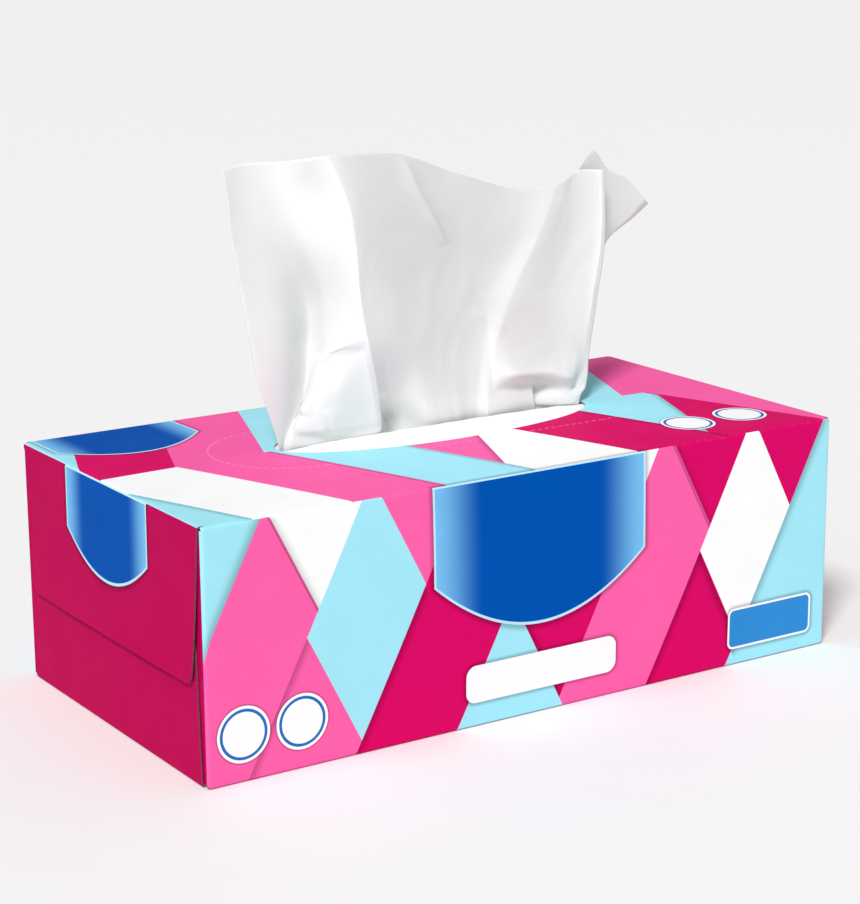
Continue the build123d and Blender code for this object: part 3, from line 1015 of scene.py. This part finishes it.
def make_tissue(material):
    p, u, v, across = tissue_grid()
    n = grid_normals(p)
    n *= np.where((n[..., 1] < 0).mean() > 0.5, 1, -1)
    uu, vv = np.meshgrid(u, v, indexing="ij")
    p = p + n * tissue_creases(p, uu, vv, across)[..., None]
    p[..., 1] = between_lips(p)
    nu, nv = uu.shape
    faces = [
        (i * nv + j, i * nv + j + 1, (i + 1) * nv + j + 1, (i + 1) * nv + j)
        for i in range(nu - 1) for j in range(nv - 1)
    ]
    obj = mesh_object("tissue_standing", p.reshape(-1, 3) * MM, faces, [material])
    set_uv(obj, "sheet", np.stack([uu.ravel(), vv.ravel()], axis=1))
    # Whiteness of the plies per point, with painted light and shade on some folds
    plies_and_painted_shade = obj.data.attributes.new("plies_and_painted_shade", "FLOAT", "POINT")
    high, low = (np.interp(uu, across, row) for row in FOLD_PLIES_AND_PAINTED_SHADE)
    lower = ramp(vv, *PLIES_AND_PAINTED_SHADE_LEVELS)
    plies_and_painted_shade.data.foreach_set("value", (high + (low - high) * lower).astype(np.float32).ravel())
    thicken(obj, TISSUE, 0)
    return obj


def tissue_paper():
    t = Tree("tissue_paper")
    uv = t.node("ShaderNodeUVMap", uv_map="sheet").outputs[0]
    stretched = t.node("ShaderNodeMapping")
    t.link(uv, stretched.inputs[0])
    stretched.inputs["Scale"].default_value = (0.35, 1.0, 1.0)
    crepe = t.noise(stretched.outputs[0], 2600.0, 4.0, 0.6)
    cloud = t.noise(uv, 70.0, 4.0)
    tint = t.ramp_to(cloud, 0.3, 0.7)
    paper = t.mix(tint, srgb(227, 231, 229), srgb(231, 235, 233))
    # Whiter where plies lie together, and painted lighter or darker on some folds: painted light and
    # shade
    plies_and_painted_shade = t.node("ShaderNodeAttribute", attribute_name="plies_and_painted_shade").outputs["Fac"]
    t.surface("Base Color", t.mix(plies_and_painted_shade, paper, srgb(250, 254, 252)))
    t.surface("Roughness", 0.9)
    t.surface("Specular IOR Level", 0.2)
    t.surface("Subsurface Weight", 0.15)
    t.surface("Subsurface Radius", (1.0, 1.0, 1.0))
    t.surface("Subsurface Scale", 0.002)
    t.surface("Normal", t.bump(crepe, 0.12, 0.0002))
    return t.material


tissue = make_tissue(tissue_paper())
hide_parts("top_tissue")
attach(tissue, "root")


# Film under the opening

FILM_SPOKES = 240
FILM_RINGS = (0, 0.015, 0.035, 0.06, 0.09, 0.13, 0.18, 0.24, 0.31, 0.4, 0.5, 0.6, 0.7, 0.8, 0.9, 1.0)
FILM_SHOWN = 0.1  # thickness of this model's film, in millimetres
FILM_LIP, LIP_REACH = 1.8, 4.0  # how far the tissue draws the edges of the slit up, and from how far
FILM_WAVE, FILM_WAVE_SIZE = 0.2, 22
PLEAT, PLEATS, PLEAT_REACH = 0.07, 38, 5.0  # pleats round the slit


def film_height(px, py, angle, edge):
    """Height of the film at a place, a given distance from the edge of the slit."""
    oval = ((px - OPENING_AT[0]) / OPENING_HALF[0]) ** 2 + ((py - OPENING_AT[1]) / OPENING_HALF[1]) ** 2
    loose = max(0.0, 1 - oval)
    spread = max(0.0, 1 - ((px - OPENING_AT[0]) / SLIT_HALF[0]) ** 2) ** 0.5
    lip = FILM_LIP * math.exp(-edge / LIP_REACH) * spread
    wave = FILM_WAVE * loose * ripple(px, py * 1.6, 2.2, FILM_WAVE_SIZE)
    pleat = PLEAT * math.sin(PLEATS * angle + 4 * math.sin(3 * angle))
    wave += pleat * math.exp(-edge / PLEAT_REACH) * spread
    glued = HEIGHT - BOARD - FILM / 2 + top_rise(px, py)
    return glued + min(1.0, 3 * loose) * (lip + wave)


def make_film(material):
    """Rings from the slit out to the film's edges."""
    verts, faces = [], []
    for t in FILM_RINGS:
        for k in range(FILM_SPOKES):
            a = 2 * math.pi * k / FILM_SPOKES
            ca, sa = math.cos(a), math.sin(a)
            reach = 1 / max(abs(ca), abs(sa))
            ix, iy = OPENING_AT[0] + SLIT_HALF[0] * ca, OPENING_AT[1] + SLIT_HALF[1] * sa
            ox = OPENING_AT[0] + FILM_HALF[0] * ca * reach
            oy = OPENING_AT[1] + FILM_HALF[1] * sa * reach
            px, py = ix + (ox - ix) * t, iy + (oy - iy) * t
            verts.append((px, py, film_height(px, py, a, math.hypot(px - ix, py - iy))))
    for r in range(len(FILM_RINGS) - 1):
        for k in range(FILM_SPOKES):
            a, b = r * FILM_SPOKES + k, r * FILM_SPOKES + (k + 1) % FILM_SPOKES
            faces.append((a, a + FILM_SPOKES, b + FILM_SPOKES, b))
    obj = mesh_object("film_slit", [Vector(v) * MM for v in verts], faces, [material])
    thicken(obj, FILM_SHOWN, 0)
    return obj


def film_material():
    t = Tree("soft_film")
    place = t.node("ShaderNodeTexCoord").outputs["Object"]
    haze = t.noise(place, 220.0, 3.0)
    t.surface("Base Color", t.mix(haze, srgb(253, 253, 254), srgb(254, 255, 255)))
    t.surface("Roughness", t.ramp_to(haze, 0.3, 0.7, 0.44, 0.52))
    t.surface("Transmission Weight", 0.05)
    t.surface("IOR", 1.3)
    return t.material


film = make_film(film_material())
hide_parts("film_window")
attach(film, "root")


SHEETS_PER_METRE = 2100.0  # lines in the stack's sides


def stack_paper():
    """White folded tissues, with the edges of the sheets as fine lines round the sides."""
    t = Tree("stacked_tissue")
    place = t.node("ShaderNodeTexCoord").outputs["Object"]
    parts = t.node("ShaderNodeSeparateXYZ")
    t.link(place, parts.inputs[0])
    wander = t.noise(place, 40.0, 3.0)
    level = t.add(t.mul(parts.outputs[2], SHEETS_PER_METRE), t.mul(wander, 2.0))
    line = t.math("PINGPONG", level, 1.0)
    colour = t.mix(t.ramp_to(line, 0.0, 0.5), srgb(214, 214, 216), srgb(246, 246, 246))
    t.surface("Base Color", colour)
    t.surface("Roughness", 0.9)
    t.surface("Normal", t.bump(line, 0.3, 0.0003))
    return t.material


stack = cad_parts["tissue_stack"]
stack.data.materials.clear()
stack.data.materials.append(stack_paper())


# Stage, light and camera

FLOOR_HALF = 6.0  # in metres
SKY_STRENGTH = 0.36
# The key light: azimuth from the front and elevation in degrees, strength, and softness in degrees
KEY_AZIMUTH, KEY_ELEVATION, KEY_STRENGTH, KEY_SOFTNESS = -47, 47, 2.62, 14
# The photograph's camera: degrees from the front, above the table and of roll, its place in millimetres,
# and its focal length in pixels of an image of this height
CAMERA_AZIMUTH, CAMERA_ELEVATION, CAMERA_ROLL = -32.927, 14.177, -0.4245
CAMERA_AT = (-396.7, -610.7, 251.8)
FOCAL_PIXELS, IMAGE_HEIGHT = 2410.96, 904
SENSOR = 36


def make_stage():
    mesh = bpy.data.meshes.new("floor")
    r = FLOOR_HALF
    mesh.from_pydata([(-r, -r, 0), (r, -r, 0), (r, r, 0), (-r, r, 0)], [], [(0, 1, 2, 3)])
    floor = bpy.data.objects.new("floor", mesh)
    bpy.context.scene.collection.objects.link(floor)
    t = Tree("floor_paper")
    t.surface("Base Color", (0.96, 0.96, 0.96, 1))
    t.surface("Roughness", 0.7)
    mesh.materials.append(t.material)


def direction(azimuth, elevation):
    """The way to a place seen at an azimuth from the front, towards +X, and an elevation, in degrees."""
    az, el = math.radians(azimuth), math.radians(elevation)
    return Vector((math.sin(az) * math.cos(el), -math.cos(az) * math.cos(el), math.sin(el)))


def make_light():
    world = bpy.data.worlds.new("studio")
    world.use_nodes = True
    background = world.node_tree.nodes["Background"]
    background.inputs["Color"].default_value = (1, 1, 1, 1)
    background.inputs["Strength"].default_value = SKY_STRENGTH
    bpy.context.scene.world = world
    light = bpy.data.lights.new("key", "SUN")
    light.energy = KEY_STRENGTH
    light.angle = math.radians(KEY_SOFTNESS)
    lamp = bpy.data.objects.new("key", light)
    lamp.rotation_euler = direction(KEY_AZIMUTH, KEY_ELEVATION).to_track_quat("Z", "Y").to_euler()
    bpy.context.scene.collection.objects.link(lamp)


def make_camera():
    back = direction(CAMERA_AZIMUTH, CAMERA_ELEVATION)
    right = Vector((0, 0, 1)).cross(back).normalized()
    up = back.cross(right)
    roll = math.radians(CAMERA_ROLL)
    c, s = math.cos(roll), math.sin(roll)
    right, up = right * c + up * s, up * c - right * s
    data = bpy.data.cameras.new("camera")
    data.sensor_width = SENSOR
    data.lens = FOCAL_PIXELS * SENSOR / IMAGE_HEIGHT
    data.clip_start = 0.01
    camera = bpy.data.objects.new("camera", data)
    turn = Matrix((right, up, back)).transposed().to_4x4()
    camera.matrix_world = Matrix.Translation(Vector(CAMERA_AT) * MM) @ turn
    bpy.context.scene.collection.objects.link(camera)
    bpy.context.scene.camera = camera


make_stage()
make_light()
make_camera()
bpy.context.scene.view_settings.view_transform = "Standard"
